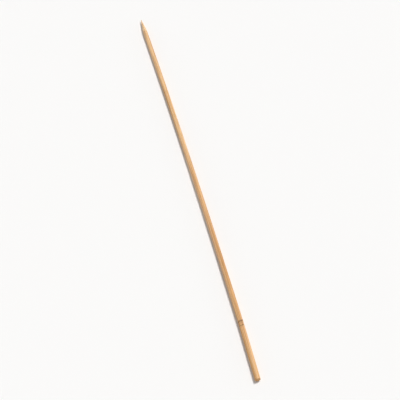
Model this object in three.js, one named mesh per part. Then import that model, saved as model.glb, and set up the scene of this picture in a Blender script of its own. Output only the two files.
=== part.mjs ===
// Bamboo skewer, lying on a table as it comes to rest, with its bow to one side.
// Millimetres, +Z up. It runs along Y, from its sawn butt at -Y to its point at +Y,
// and the middle of its underside is at the origin.

import * as THREE from 'three';

// Stick
const length = 300;
const diameter = 3;
const buttChamfer = 0.1;

// Point, ground to a slightly crowned cone
const pointLength = 14;
const pointCrown = 0.1;
const tipRadius = 0.15;

// Node of the cane: the groove of a leaf sheath's scar, then the low ridge above it.
// Both fade out round the stick, away from the side that faced the cane's skin.
const nodeFromButt = 33;
const scarDepth = 0.06;
const scarWidth = 0.8;
const ridgeFromScar = 2.8;
const ridgeHeight = 0.1;
const ridgeWidth = 2.2;
const skinSide = 62; // degrees, from +X towards +Z

// Bend, all of it sideways, so that the stick lies flat
const bow = 1.2;
const nodeKink = 0.6; // degrees

// Fineness of the mesh
const facetsAround = 32;
const longStep = 10;
const nodeStep = 0.2;
const pointStep = 1.5;
const tipSteps = 3;

// Distances along the stick from one place to another, evenly spaced, without the last one
function stations(from, to, step) {
  const count = Math.max(1, Math.ceil((to - from) / step));
  return Array.from({ length: count }, (_, i) => from + ((to - from) * i) / count);
}

function shankStations() {
  const nodeStart = nodeFromButt - scarWidth;
  const nodeEnd = nodeFromButt + ridgeFromScar + ridgeWidth;
  return [
    ...stations(buttChamfer, nodeStart, longStep),
    ...stations(nodeStart, nodeEnd, nodeStep),
    ...stations(nodeEnd, length - pointLength, longStep),
  ];
}

// t runs from 0, where the grinding starts, to 1 at the tip
function pointRadius(t) {
  const cone = THREE.MathUtils.lerp(diameter / 2, tipRadius, t);
  return cone + pointCrown * 4 * t * (1 - t);
}

// Half the outline of the straight stick: radius against distance from the butt
function outline() {
  const points = [new THREE.Vector2(0, 0), new THREE.Vector2(diameter / 2 - buttChamfer, 0)];
  for (const y of shankStations()) {
    points.push(new THREE.Vector2(diameter / 2, y));
  }
  const pointStart = length - pointLength;
  const tipStart = length - tipRadius;
  for (const y of stations(pointStart, tipStart, pointStep)) {
    const t = (y - pointStart) / (tipStart - pointStart);
    points.push(new THREE.Vector2(pointRadius(t), y));
  }
  for (let i = 0; i < tipSteps; i++) {
    const turn = (Math.PI / 2) * (i / tipSteps);
    points.push(new THREE.Vector2(tipRadius * Math.cos(turn), tipStart + tipRadius * Math.sin(turn)));
  }
  points.push(new THREE.Vector2(0, length));
  return points;
}

// A smooth swelling: 1 at its middle, 0 from half its width outwards
function swelling(distance, width) {
  if (Math.abs(distance) >= width / 2) return 0;
  return Math.cos((Math.PI * distance) / width) ** 2;
}

// How far the node raises the surface at a distance from the butt and an angle round the stick
function nodeHeight(y, angle) {
  const scar = scarDepth * swelling(y - nodeFromButt, scarWidth);
  const ridge = ridgeHeight * swelling(y - nodeFromButt - ridgeFromScar, ridgeWidth);
  const facingSkin = Math.max(0, Math.cos(angle - THREE.MathUtils.degToRad(skinSide)));
  return (ridge - scar) * facingSkin;
}

// How far the middle of the stick stands aside, at a distance from the butt
function sideways(y) {
  const t = y / length;
  const belowNode = Math.max(0, nodeFromButt - y);
  return bow * 4 * t * (1 - t) - belowNode * Math.tan(THREE.MathUtils.degToRad(nodeKink));
}

// The round stick, with its node, bent
function skewerGeometry() {
  const geometry = new THREE.LatheGeometry(outline(), facetsAround);
  const position = geometry.attributes.position;
  const place = new THREE.Vector3();
  for (let i = 0; i < position.count; i++) {
    place.fromBufferAttribute(position, i);
    const { x, y, z } = place;
    const grown = 1 + nodeHeight(y, Math.atan2(z, x)) / (diameter / 2);
    position.setXYZ(i, x * grown + sideways(y), y, z * grown);
  }
  geometry.computeVertexNormals();
  return geometry;
}

function makeSkewer() {
  const geometry = skewerGeometry();
  geometry.computeBoundingBox();
  const box = geometry.boundingBox;
  const bamboo = new THREE.MeshStandardMaterial({ color: 0xe3bd8c, roughness: 0.62, metalness: 0 });
  const mesh = new THREE.Mesh(geometry, bamboo);
  mesh.name = 'skewer';
  mesh.position.set(-(box.min.x + box.max.x) / 2, -(box.min.y + box.max.y) / 2, -box.min.z);
  return mesh;
}

const group = new THREE.Group();
group.add(makeSkewer());

export default group;
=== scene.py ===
import math

import bpy
import numpy as np
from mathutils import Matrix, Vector


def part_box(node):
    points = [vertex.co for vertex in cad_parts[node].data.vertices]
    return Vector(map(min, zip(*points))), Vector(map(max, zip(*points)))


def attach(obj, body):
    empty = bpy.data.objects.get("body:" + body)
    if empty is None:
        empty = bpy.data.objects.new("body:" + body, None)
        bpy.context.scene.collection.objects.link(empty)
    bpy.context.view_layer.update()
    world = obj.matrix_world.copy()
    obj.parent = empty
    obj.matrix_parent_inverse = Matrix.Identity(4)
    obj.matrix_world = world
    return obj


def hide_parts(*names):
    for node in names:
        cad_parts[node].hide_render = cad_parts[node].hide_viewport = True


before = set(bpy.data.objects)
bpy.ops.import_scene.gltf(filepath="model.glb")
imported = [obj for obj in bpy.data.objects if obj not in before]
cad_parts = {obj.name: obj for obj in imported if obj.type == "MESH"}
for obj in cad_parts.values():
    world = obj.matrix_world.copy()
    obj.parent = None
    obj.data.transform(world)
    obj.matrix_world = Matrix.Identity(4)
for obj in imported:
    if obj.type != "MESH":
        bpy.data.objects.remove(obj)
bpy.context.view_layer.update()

# Sizes of the stick, in millimetres. Y is measured from the butt to the point.
MM = 0.001
LOW, HIGH = (np.array(corner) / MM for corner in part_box("skewer"))
LENGTH = HIGH[1] - LOW[1]
DIAMETER = 3.0
RADIUS = DIAMETER / 2
BUTT_CHAMFER = 0.1
RIM_RADIUS = RADIUS - BUTT_CHAMFER
POINT_LENGTH = 14.0
POINT_CROWN = 0.1
TIP_RADIUS = 0.15
POINT_START = LENGTH - POINT_LENGTH
TIP_START = LENGTH - TIP_RADIUS
NODE_FROM_BUTT = 33.0
SCAR_DEPTH = 0.06
SCAR_WIDTH = 0.8
RIDGE_FROM_SCAR = 2.8
RIDGE_HEIGHT = 0.1
RIDGE_WIDTH = 2.2
SKIN_SIDE = math.radians(62)  # from +X towards +Z in the section
BOW = 1.2
NODE_KINK = 0.6  # degrees

# Unevenness of the shank, in millimetres
DRAWN_WAVES = 0.016  # from the die
COARSE_FIBRES = 0.010
FINE_FIBRES = 0.008
VESSELS = 80
VESSEL_LENGTH = 60.0
VESSEL_WIDTH = 0.08
VESSEL_DEPTH = 0.045
VESSEL_DRIFT = 0.03  # of a turn round the stick, over its length
SHANK_STARTS = (0.3, 2.0)  # its unevenness fades in between these, and out between the next two
SHANK_ENDS = (POINT_START - 1, POINT_START + 1)

# Unevenness of the ground point, in millimetres
GRINDING_STARTS = (POINT_START - 0.3, POINT_START + 0.6)
GRINDING_RINGS = 0.006
GRINDING_WAVES = 0.004
GRINDING_FADES = 0.5  # towards the tip, from where the radius is this

# Unevenness of the sawn end, in millimetres
SAW_MARK = 0.32  # from one mark to the next
SAW_MARK_DEPTH = 0.012
SAW_MARK_SLANT = 0.3
SAWN_FIBRES = 0.012
SAWN_FROM = (0.05, 0.4)  # radii between which it fades in
RIM_REACH = 0.25
RIM_TEAR = 0.02
TUFT_LENGTH = 0.22

# How far the node's scar wanders as it goes round, and its dark marks, in millimetres
SCAR_WANDER = 0.35
SCAR_WAVES = 0.14
SCAR_RAGGED = 0.08
SCAR_LINE = 0.2
RIDGE_LINE = 0.36
HAZE_REACH = 2.6

# How the stick was cut from the cane's wall
GRAIN_SLOPE = 0.0016  # the stick's axis crosses the grain this much
CROWDING = 0.3  # how much closer the bundles stand at the skin
SWIRL = 0.22  # mm that the fibres bend aside at the node
SWIRL_REACH = 2.4
SWIRL_ACROSS = 2.6  # radians to a millimetre
SWIRL_INWARD = 3.1

# Fineness of the mesh, and the angle from which an edge is sharp
AROUND = 128
CAP_RINGS = 12
SHANK_STEP = 0.62
NODE_STEP = 0.12
NODE_REACH = 4.0
POINT_STEP = 0.16
TIP_STEPS = 4
SHARP_EDGE = math.radians(35)

SEED = 7


def spaced(start, stop, step):
    """Places from start towards stop, evenly spaced, without the last one."""
    count = max(1, math.ceil((stop - start) / step))
    return [start + (stop - start) * i / count for i in range(count)]


def swelling(distance, width):
    """1 at its middle, 0 from half its width outwards."""
    inside = np.abs(distance) < width / 2
    return np.where(inside, np.cos(np.pi * distance / width) ** 2, 0.0)


def bell(distance, width):
    return np.exp(-((distance / width) ** 2))


def eased(t):
    return t * t * (3 - 2 * t)


def ramp(value, low, high):
    """0 at low, 1 at high, smooth between them."""
    return eased(np.clip((value - low) / (high - low), 0, 1))


# Plain form of the stick: rings, each with its distance from the butt and its radius

def cap_rings():
    return [(0.0, RIM_RADIUS * (i + 1) / CAP_RINGS) for i in range(CAP_RINGS)]


def rim_rings():
    return [(step, RIM_RADIUS + step) for step in spaced(0, BUTT_CHAMFER, BUTT_CHAMFER / 3)[1:]]


def shank_rings():
    node_start = NODE_FROM_BUTT - NODE_REACH
    node_end = NODE_FROM_BUTT + RIDGE_FROM_SCAR + NODE_REACH
    stations = [
        *spaced(BUTT_CHAMFER, node_start, SHANK_STEP),
        *spaced(node_start, node_end, NODE_STEP),
        *spaced(node_end, POINT_START, SHANK_STEP),
    ]
    return [(y, RADIUS) for y in stations]


def point_rings():
    found = []
    for y in spaced(POINT_START, TIP_START, POINT_STEP):
        t = (y - POINT_START) / (TIP_START - POINT_START)
        cone = RADIUS + (TIP_RADIUS - RADIUS) * t
        found.append((y, cone + POINT_CROWN * 4 * t * (1 - t)))
    for i in range(TIP_STEPS):
        turn = math.pi / 2 * i / TIP_STEPS
        found.append((TIP_START + TIP_RADIUS * math.sin(turn), TIP_RADIUS * math.cos(turn)))
    return found


# The surface as a grid: a row for each ring and a column for each step round the stick
Y, R = np.array([*cap_rings(), *rim_rings(), *shank_rings(), *point_rings()]).T[..., None]
RINGS = len(Y)
TURNS = (np.arange(AROUND) / AROUND)[None, :]
EVERYWHERE = np.ones((RINGS, AROUND))

# Where on the grid each kind of surface is, from 0 to 1
ON_CAP = np.arange(RINGS)[:, None] < CAP_RINGS
ON_SHANK = ramp(Y, *SHANK_STARTS) * (1 - ramp(Y, *SHANK_ENDS))
ON_POINT = ramp(Y, *GRINDING_STARTS)
AT_RIM = bell(np.hypot(Y, R - RIM_RADIUS), RIM_REACH)
TOWARDS_SKIN = np.cos(2 * np.pi * TURNS - SKIN_SIDE)

chance = np.random.default_rng(SEED)


def noise(cells, length):
    """-1 to 1 over the grid, smooth, with so many cells round the stick, each so many mm long."""
    rows = int(LENGTH / length) + 4
    heights = chance.uniform(-1, 1, (rows, cells))
    place = Y / length + chance.uniform(1, 2, cells)[None, :]
    row = np.floor(place).astype(int)
    column = np.arange(cells)[None, :]
    t = eased(place - row)
    lines = heights[row, column] * (1 - t) + heights[row + 1, column] * t
    place = TURNS[0] * cells
    left = np.floor(place).astype(int)
    t = eased(place - left)
    return lines[:, left % cells] * (1 - t) + lines[:, (left + 1) % cells] * t


def open_vessels():
    """0 to 1 over the grid: fine grooves along the stick, each fading out at its ends."""
    found = np.zeros((RINGS, AROUND))
    for _ in range(VESSELS):
        turn, start, long, wide, deep, drift = chance.uniform(0, 1, 6)
        length = VESSEL_LENGTH * (0.25 + 0.75 * long)
        t = (Y - start * POINT_START) / length + 0.5
        fade = np.sin(np.pi * np.clip(t, 0, 1)) ** 0.5
        away = (TURNS - turn - (drift - 0.5) * VESSEL_DRIFT * t + 0.5) % 1 - 0.5
        line = bell(away * math.pi * DIAMETER, VESSEL_WIDTH * (0.6 + 0.8 * wide))
        found = np.maximum(found, line * fade * (0.35 + 0.65 * deep))
    return found


def from_scar():
    """How far each point of the grid lies beyond the scar, which wanders as it goes round."""
    wander = SCAR_WANDER * np.sin(2 * np.pi * TURNS + 1.1) + SCAR_WAVES * np.sin(6 * np.pi * TURNS)
    return Y - NODE_FROM_BUTT - wander + SCAR_RAGGED * noise(cells=24, length=2)


def node_form(past_scar):
    scar = SCAR_DEPTH * swelling(past_scar, SCAR_WIDTH)
    ridge = RIDGE_HEIGHT * swelling(past_scar - RIDGE_FROM_SCAR, RIDGE_WIDTH)
    return (ridge - scar) * np.maximum(0, TOWARDS_SKIN)


def node_stain(past_scar):
    """Dark ragged lines in the scar and on the ridge, in a haze. All fade out towards the pith side."""
    ragged = 0.8 + 0.4 * noise(cells=18, length=1.2) + 0.35 * noise(cells=44, length=0.35)
    scar = bell(past_scar, SCAR_LINE)
    ridge = 0.8 * bell(past_scar - RIDGE_FROM_SCAR, RIDGE_LINE)
    haze = 0.3 * bell(past_scar - RIDGE_FROM_SCAR / 2, HAZE_REACH)
    clouded = haze * (0.8 + 0.5 * noise(cells=30, length=3))
    stain = np.maximum(scar, ridge) * ragged + clouded
    return np.clip(stain * (0.65 + 0.35 * TOWARDS_SKIN), 0, 1)


def shank_relief(vessels):
    """Uneven drawing through the die, the fibres that stand proud, and the open vessels."""
    drawn = DRAWN_WAVES * noise(cells=6, length=70)
    fibres = COARSE_FIBRES * noise(cells=26, length=22) + FINE_FIBRES * noise(cells=42, length=9)
    return drawn + fibres - VESSEL_DEPTH * vessels


def tufts():
    """0 to 1: fibres that the saw pulled out past the rim of the sawn end."""
    return AT_RIM * ramp(noise(cells=52, length=6), 0.45, 0.95)


def cane_place(x, y, z):
    """Where a point of the stick was in the cane: across its wall, towards its skin, and along it."""
    across = z * math.cos(SKIN_SIDE) - x * math.sin(SKIN_SIDE)
    skinward = x * math.cos(SKIN_SIDE) + z * math.sin(SKIN_SIDE)
    swirl = SWIRL * bell(y - NODE_FROM_BUTT - RIDGE_FROM_SCAR / 2, SWIRL_REACH)
    across = across + GRAIN_SLOPE * y + swirl * np.sin(SWIRL_ACROSS * skinward + 0.5)
    crowded = skinward * (1 + CROWDING * skinward / RADIUS) + swirl * np.sin(SWIRL_INWARD * across)
    return np.stack([across, crowded, y], axis=-1)


def stick_grid():
    """The straight stick's points, and what the material reads at each."""
    past_scar = from_scar()
    vessels = open_vessels()
    torn = noise(cells=26, length=4)
    grinding = GRINDING_RINGS * noise(cells=5, length=0.5) + GRINDING_WAVES * noise(cells=30, length=2.5)
    radius = R + ON_SHANK * shank_relief(vessels) + node_form(past_scar)
    radius = radius + ON_POINT * grinding * np.minimum(1, R / GRINDING_FADES) + RIM_TEAR * AT_RIM * torn
    x = radius * np.cos(2 * np.pi * TURNS)
    z = np.maximum(radius * np.sin(2 * np.pi * TURNS), -RADIUS)  # nothing is lower than the table
    saw_marks = SAW_MARK_DEPTH * np.sin(2 * np.pi * (x + SAW_MARK_SLANT * z) / SAW_MARK)
    sawn = saw_marks + SAWN_FIBRES * noise(cells=24, length=0.4)
    y = Y + sawn * ON_CAP * ramp(R, *SAWN_FROM) - TUFT_LENGTH * tufts()
    return {
        "places": np.stack([x, y, z], axis=-1).reshape(-1, 3),
        "grain": cane_place(x, Y * EVERYWHERE, z).reshape(-1, 3),
        "node": node_stain(past_scar).ravel(),
        "vessel": (vessels * ON_SHANK).ravel(),
        "sawn": np.maximum(ON_CAP, AT_RIM * (0.5 + 0.25 * torn)).ravel(),
        "ground": (ON_POINT * EVERYWHERE).ravel(),
    }


def end_points():
    """The middles of the sawn end and of the tip, which close the grid."""
    ends = np.array([[0, 0, 0], [0, LENGTH, 0]], float)
    return {
        "places": ends,
        "grain": cane_place(*ends.T),
        "node": np.zeros(2),
        "vessel": np.zeros(2),
        "sawn": np.array([1.0, 0.0]),
        "ground": np.array([0.0, 1.0]),
    }


def sideways(y):
    """How far the middle of the stick stands aside: its bow, and the kink at the node."""
    t = y / LENGTH
    below_node = np.maximum(0, NODE_FROM_BUTT - y)
    return BOW * 4 * t * (1 - t) - below_node * math.tan(math.radians(NODE_KINK))


def set_down(places):
    """Bends the straight stick sideways and lays it on the table in the CAD box, in metres."""
    middle = (np.min(sideways(Y) - R) + np.max(sideways(Y) + R)) / 2
    at = places.copy()
    at[:, 0] += sideways(at[:, 1]) - middle + (LOW[0] + HIGH[0]) / 2
    at[:, 1] += LOW[1]
    at[:, 2] += LOW[2] + RADIUS
    return at * MM


# Faces, and the map of the surface: the side in strips next to each other, and the sawn end beside them

STRIPS = 4
STRIP_LENGTH = LENGTH / STRIPS
STRIPS_WIDTH = 0.9
STRIP_MARGIN = 0.05
STRIP_END = 0.012
CAP_MIDDLE = (0.952, 0.5)
CAP_SCALE = 0.03  # of the map's width to a millimetre


def map_side(y, turn, strip):
    across = strip + STRIP_MARGIN / 2 + turn * (1 - STRIP_MARGIN)
    along = y / STRIP_LENGTH - strip
    place = (across / STRIPS * STRIPS_WIDTH, STRIP_END + along * (1 - 2 * STRIP_END))
    return np.stack(np.broadcast_arrays(*place), axis=-1).reshape(-1, 2)


def map_cap(radius, turn):
    across = CAP_MIDDLE[0] + CAP_SCALE * radius * np.cos(2 * np.pi * turn)
    along = CAP_MIDDLE[1] + CAP_SCALE * radius * np.sin(2 * np.pi * turn)
    return np.stack([across, along], axis=-1).reshape(-1, 2)


def quads(first_ring, last_ring):
    """The faces between two rings: their corners' rings and steps round the stick."""
    ring, step = (i.reshape(-1, 1) for i in np.mgrid[first_ring:last_ring, 0:AROUND])
    return ring + [0, 1, 1, 0], step + [0, 0, 1, 1]


def fan(step_shares):
    """The faces that close an end: each step round it, and the share of a step at each corner."""
    return np.arange(AROUND)[:, None] + step_shares


def corner_points(rings, steps):
    return rings * AROUND + np.floor(steps).astype(int) % AROUND


def faces_and_map():
    """The corners of each face, and where each corner lies on the map."""
    cap_ring, cap_step = quads(0, CAP_RINGS - 1)
    side_ring, side_step = quads(CAP_RINGS - 1, RINGS - 1)
    side_y = Y[side_ring, 0]
    strip = np.minimum(STRIPS - 1, side_y.mean(axis=1, keepdims=True) // STRIP_LENGTH)
    butt_fan, tip_fan = fan([0.5, 0, 1]), fan([0.5, 1, 0])
    butt = corner_points(0, butt_fan)
    butt[:, 0] = RINGS * AROUND
    tip = corner_points(RINGS - 1, tip_fan)
    tip[:, 0] = RINGS * AROUND + 1
    faces = [
        *corner_points(cap_ring, cap_step).tolist(),
        *corner_points(side_ring, side_step).tolist(),
        *butt.tolist(),
        *tip.tolist(),
    ]
    tip_y = np.array([LENGTH, Y[-1, 0], Y[-1, 0]])
    places = [
        map_cap(R[cap_ring, 0], cap_step / AROUND),
        map_side(side_y, side_step / AROUND, strip),
        map_cap(R[0, 0] * np.array([0, 1, 1]), butt_fan / AROUND),
        map_side(tip_y, tip_fan / AROUND, STRIPS - 1),
    ]
    return faces, np.concatenate(places)


def make_stick(material):
    grid, ends = stick_grid(), end_points()
    shape = {name: np.concatenate([grid[name], ends[name]]) for name in grid}
    faces, map_places = faces_and_map()
    mesh = bpy.data.meshes.new("bamboo_skewer")
    mesh.from_pydata(set_down(shape["places"]).tolist(), [], faces)
    grain = mesh.attributes.new("grain", "FLOAT_VECTOR", "POINT")
    grain.data.foreach_set("vector", shape["grain"].ravel())
    for name in ("node", "vessel", "sawn", "ground"):
        mesh.attributes.new(name, "FLOAT", "POINT").data.foreach_set("value", shape[name])
    mesh.uv_layers.new(name="OFBake").uv.foreach_set("vector", map_places.ravel())
    mesh.polygons.foreach_set("use_smooth", [True] * len(mesh.polygons))
    mesh.set_sharp_from_angle(angle=SHARP_EDGE)
    mesh.materials.append(material)
    stick = bpy.data.objects.new("bamboo_skewer", mesh)
    bpy.context.collection.objects.link(stick)
    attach(stick, "root")
    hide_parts("skewer")


# Materials

MIX_FIRST, MIX_SECOND, MIX_RESULT = 6, 7, 2  # the colour sockets of a Mix node


class Nodes:
    """Short ways to add and link shader nodes."""

    def __init__(self, material):
        material.use_nodes = True
        self.tree = material.node_tree
        self.shader = self.tree.nodes["Principled BSDF"]

    def put(self, socket, value):
        if isinstance(value, bpy.types.NodeSocket):
            self.tree.links.new(value, socket)
        else:
            socket.default_value = value

    def add(self, kind, inputs, **settings):
        node = self.tree.nodes.new(kind)
        for name, value in settings.items():
            setattr(node, name, value)
        for name, value in inputs.items():
            self.put(node.inputs[name], value)
        return node

    def attribute(self, name, output="Fac"):
        return self.add("ShaderNodeAttribute", {}, attribute_name=name).outputs[output]

    def times(self, first, second):
        return self.add("ShaderNodeMath", {0: first, 1: second}, operation="MULTIPLY").outputs[0]

    def plus(self, first, second):
        return self.add("ShaderNodeMath", {0: first, 1: second}, operation="ADD").outputs[0]

    def ranged(self, value, low, high, to_low=0.0, to_high=1.0):
        inputs = {"Value": value, "From Min": low, "From Max": high, "To Min": to_low, "To Max": to_high}
        return self.add("ShaderNodeMapRange", inputs, interpolation_type="SMOOTHSTEP").outputs["Result"]

    def mix(self, amount, first, second):
        inputs = {"Factor": amount, MIX_FIRST: first, MIX_SECOND: second}
        return self.add("ShaderNodeMix", inputs, data_type="RGBA").outputs[MIX_RESULT]

    def cells(self, grain, across, along):
        """The place in the cane, in cells to a millimetre across its grain and along it."""
        inputs = {0: grain, 1: (across, across, along)}
        return self.add("ShaderNodeVectorMath", inputs, operation="MULTIPLY").outputs[0]

    def noise(self, grain, across, along, detail=2.0, output="Fac"):
        inputs = {"Vector": self.cells(grain, across, along), "Scale": 1.0, "Detail": detail}
        return self.add("ShaderNodeTexNoise", inputs).outputs[output]

    def spots(self, place, core, edge, dimensions="3D"):
        """1 in each cell's core, 0 from its edge outwards, and the cell's own random value."""
        inputs = {"Vector": place, "Scale": 1.0}
        cells = self.add("ShaderNodeTexVoronoi", inputs, voronoi_dimensions=dimensions)
        own = self.add("ShaderNodeSeparateColor", {"Color": cells.outputs["Color"]}).outputs["Red"]
        return self.ranged(cells.outputs["Distance"], core, edge, to_low=1.0, to_high=0.0), own


def linear(*channels):
    """A colour as a screen shows it, each channel 0 to 255, as the light that it stands for."""
    shares = [channel / 255 for channel in channels]
    return (*[s / 12.92 if s <= 0.04045 else ((s + 0.055) / 1.055) ** 2.4 for s in shares], 1.0)


STRAW = linear(242, 201, 150)
ROSY = linear(236, 189, 145)
TAN = linear(212, 160, 102)
PALE = linear(249, 219, 174)
FIBRE = linear(164, 108, 56)
STAIN = linear(98, 58, 28)
END_GRAIN = linear(194, 147, 92)

FURROW_ROUGHNESS = 0.74
FIBRE_ROUGHNESS = 0.48
BUMP_DEPTH = 0.03 * MM
BUMP_STRENGTH = 0.5
SPECULAR = 0.4


def ground_tissue(nodes, grain):
    """Colour of the soft tissue: broad bands along the stick, finer ones in them, and hairlines."""
    warm = nodes.noise(grain, across=0.2, along=0.008)
    banded = nodes.noise(grain, across=0.9, along=0.012, detail=3.0)
    fine = nodes.noise(grain, across=4.0, along=0.04, detail=3.0)
    pale_hairs = nodes.noise(grain, across=14.0, along=0.15)
    dark_hairs = nodes.noise(grain, across=11.0, along=0.06)
    colour = nodes.mix(nodes.ranged(warm, 0.35, 0.65), STRAW, ROSY)
    colour = nodes.mix(nodes.ranged(banded, 0.4, 0.62), colour, TAN)
    colour = nodes.mix(nodes.ranged(fine, 0.48, 0.7, to_high=0.65), colour, FIBRE)
    colour = nodes.mix(nodes.ranged(pale_hairs, 0.5, 0.75, to_high=0.5), colour, PALE)
    return nodes.mix(nodes.ranged(dark_hairs, 0.6, 0.72, to_high=0.6), colour, FIBRE)


def fibre_bundles(nodes, grain):
    """0 to 1: bundles that run on along the cane, dots in its section and streaks on its side."""
    wander = nodes.noise(grain, across=0.4, along=0.02, detail=1.0, output="Color")
    straight = nodes.cells(grain, across=2.5, along=0.0)
    place = nodes.add("ShaderNodeVectorMath", {0: straight, 1: wander}, operation="ADD").outputs[0]
    bundle, own = nodes.spots(place, core=0.16, edge=0.32, dimensions="2D")
    darkness = nodes.ranged(own, 0.1, 0.9, to_low=0.25, to_high=0.95)
    fading = nodes.ranged(nodes.noise(grain, across=2.0, along=0.03), 0.35, 0.6, to_low=0.35)
    return nodes.times(nodes.times(bundle, darkness), fading)


def flecks(nodes, grain):
    """0 to 1: short brown dashes, where a fibre was cut open."""
    dash, own = nodes.spots(nodes.cells(grain, across=3.0, along=0.12), core=0.1, edge=0.3)
    return nodes.times(dash, nodes.ranged(own, 0.8, 0.95))


def node_marks(nodes, grain):
    """0 to 1: the node's dark lines, broken up by the fibres that they cross."""
    fibres = nodes.noise(grain, across=7.0, along=0.8)
    ragged = nodes.ranged(fibres, 0.3, 0.7, to_low=-0.22, to_high=0.22)
    return nodes.ranged(nodes.plus(nodes.attribute("node"), ragged), 0.12, 0.75)


def bamboo():
    material = bpy.data.materials.new("bamboo")
    nodes = Nodes(material)
    grain = nodes.attribute("grain", output="Vector")
    sawn, ground = nodes.attribute("sawn"), nodes.attribute("ground")
    bundle = fibre_bundles(nodes, grain)

    colour = ground_tissue(nodes, grain)
    colour = nodes.mix(nodes.times(ground, 0.45), colour, PALE)
    colour = nodes.mix(nodes.times(sawn, 0.6), colour, END_GRAIN)
    colour = nodes.mix(nodes.times(bundle, 0.8), colour, FIBRE)
    colour = nodes.mix(nodes.times(nodes.attribute("vessel"), 0.8), colour, FIBRE)
    colour = nodes.mix(nodes.times(flecks(nodes, grain), 0.7), colour, STAIN)
    colour = nodes.mix(nodes.times(nodes.times(sawn, bundle), 0.9), colour, STAIN)
    colour = nodes.mix(nodes.times(node_marks(nodes, grain), 0.85), colour, STAIN)

    fibres = nodes.times(nodes.noise(grain, across=9.0, along=0.12), 0.6)
    grinding = nodes.times(nodes.noise(grain, across=0.6, along=7.0), nodes.times(ground, 1.4))
    height = nodes.plus(nodes.plus(fibres, nodes.times(bundle, 0.5)), grinding)
    roughness = nodes.ranged(height, 0.2, 0.9, to_low=FURROW_ROUGHNESS, to_high=FIBRE_ROUGHNESS)
    inputs = {"Height": height, "Strength": BUMP_STRENGTH, "Distance": BUMP_DEPTH}
    nodes.put(nodes.shader.inputs["Base Color"], colour)
    nodes.put(nodes.shader.inputs["Roughness"], roughness)
    nodes.put(nodes.shader.inputs["Normal"], nodes.add("ShaderNodeBump", inputs).outputs["Normal"])
    nodes.put(nodes.shader.inputs["Specular IOR Level"], SPECULAR)
    return material


def floor_white():
    material = bpy.data.materials.new("floor_white")
    nodes = Nodes(material)
    nodes.put(nodes.shader.inputs["Base Color"], (0.9, 0.9, 0.9, 1))
    nodes.put(nodes.shader.inputs["Roughness"], 0.85)
    nodes.put(nodes.shader.inputs["Specular IOR Level"], 0.1)
    return material


# Room, lights and camera, in metres

FLOOR_REACH = 4.0
WHITE = (1, 1, 1, 1)

# Light of the room's walls, and of what is higher up. Heights are the upward part of a direction.
WALL_LIGHT = 1.0
WALL_HEIGHT = 0.12
UPPER_LIGHT = 0.25
UPPER_HEIGHT = 0.5

CAMERA_AZIMUTH = math.radians(-14.06)
CAMERA_ELEVATION = math.radians(50)
CAMERA_DISTANCE = 0.5457
CAMERA_AIM = (-0.0003, -0.0251, 0.0014)
CAMERA_LENS = 81.56  # mm
CAMERA_SENSOR = 36  # mm
CAMERA_CLIP = 0.01


def make_floor():
    corners = [(-1, -1), (1, -1), (1, 1), (-1, 1)]
    mesh = bpy.data.meshes.new("floor")
    mesh.from_pydata([(x * FLOOR_REACH, y * FLOOR_REACH, 0) for x, y in corners], [], [(0, 1, 2, 3)])
    mesh.materials.append(floor_white())
    floor = bpy.data.objects.new("floor", mesh)
    bpy.context.collection.objects.link(floor)


def aim(thing, target):
    thing.rotation_euler = (Vector(target) - thing.location).to_track_quat("-Z", "Y").to_euler()


def add_sun(name, place, angle, strength, colour):
    """Even light from the side of a place, as wide as this angle, in degrees."""
    data = bpy.data.lights.new(name, "SUN")
    data.angle = math.radians(angle)
    data.energy = strength
    data.color = colour
    light = bpy.data.objects.new(name, data)
    light.location = place
    bpy.context.collection.objects.link(light)
    aim(light, (0, 0, 0))


def light_room():
    """White walls near the floor, dimmer towards the ceiling."""
    world = bpy.data.worlds.new("soft_room")
    bpy.context.scene.world = world
    world.use_nodes = True
    nodes = world.node_tree.nodes
    links = world.node_tree.links
    direction = nodes.new("ShaderNodeTexCoord")
    parts = nodes.new("ShaderNodeSeparateXYZ")
    light = nodes.new("ShaderNodeMapRange")
    light.interpolation_type = "SMOOTHSTEP"
    light.inputs["From Min"].default_value = WALL_HEIGHT
    light.inputs["From Max"].default_value = UPPER_HEIGHT
    light.inputs["To Min"].default_value = WALL_LIGHT
    light.inputs["To Max"].default_value = UPPER_LIGHT
    links.new(direction.outputs["Generated"], parts.inputs["Vector"])
    links.new(parts.outputs["Z"], light.inputs["Value"])
    links.new(light.outputs["Result"], nodes["Background"].inputs["Strength"])
    nodes["Background"].inputs["Color"].default_value = WHITE


def add_lights():
    add_sun("key", place=(1.4, 0.9, 2.6), angle=15, strength=2.62, colour=(1.0, 0.99, 0.975))
    add_sun("fill", place=(-1.8, -1.2, 2.0), angle=60, strength=0.2, colour=(0.98, 0.99, 1.0))
    light_room()


def add_camera():
    data = bpy.data.cameras.new("camera")
    data.lens = CAMERA_LENS
    data.sensor_width = CAMERA_SENSOR
    data.clip_start = CAMERA_CLIP
    camera = bpy.data.objects.new("camera", data)
    level = math.cos(CAMERA_ELEVATION)
    back = Vector((
        math.sin(CAMERA_AZIMUTH) * level,
        -math.cos(CAMERA_AZIMUTH) * level,
        math.sin(CAMERA_ELEVATION),
    ))
    camera.location = Vector(CAMERA_AIM) + CAMERA_DISTANCE * back
    bpy.context.collection.objects.link(camera)
    aim(camera, CAMERA_AIM)
    bpy.context.scene.camera = camera


add_camera()
make_stick(bamboo())
make_floor()
add_lights()
bpy.context.scene.view_settings.view_transform = "Standard"
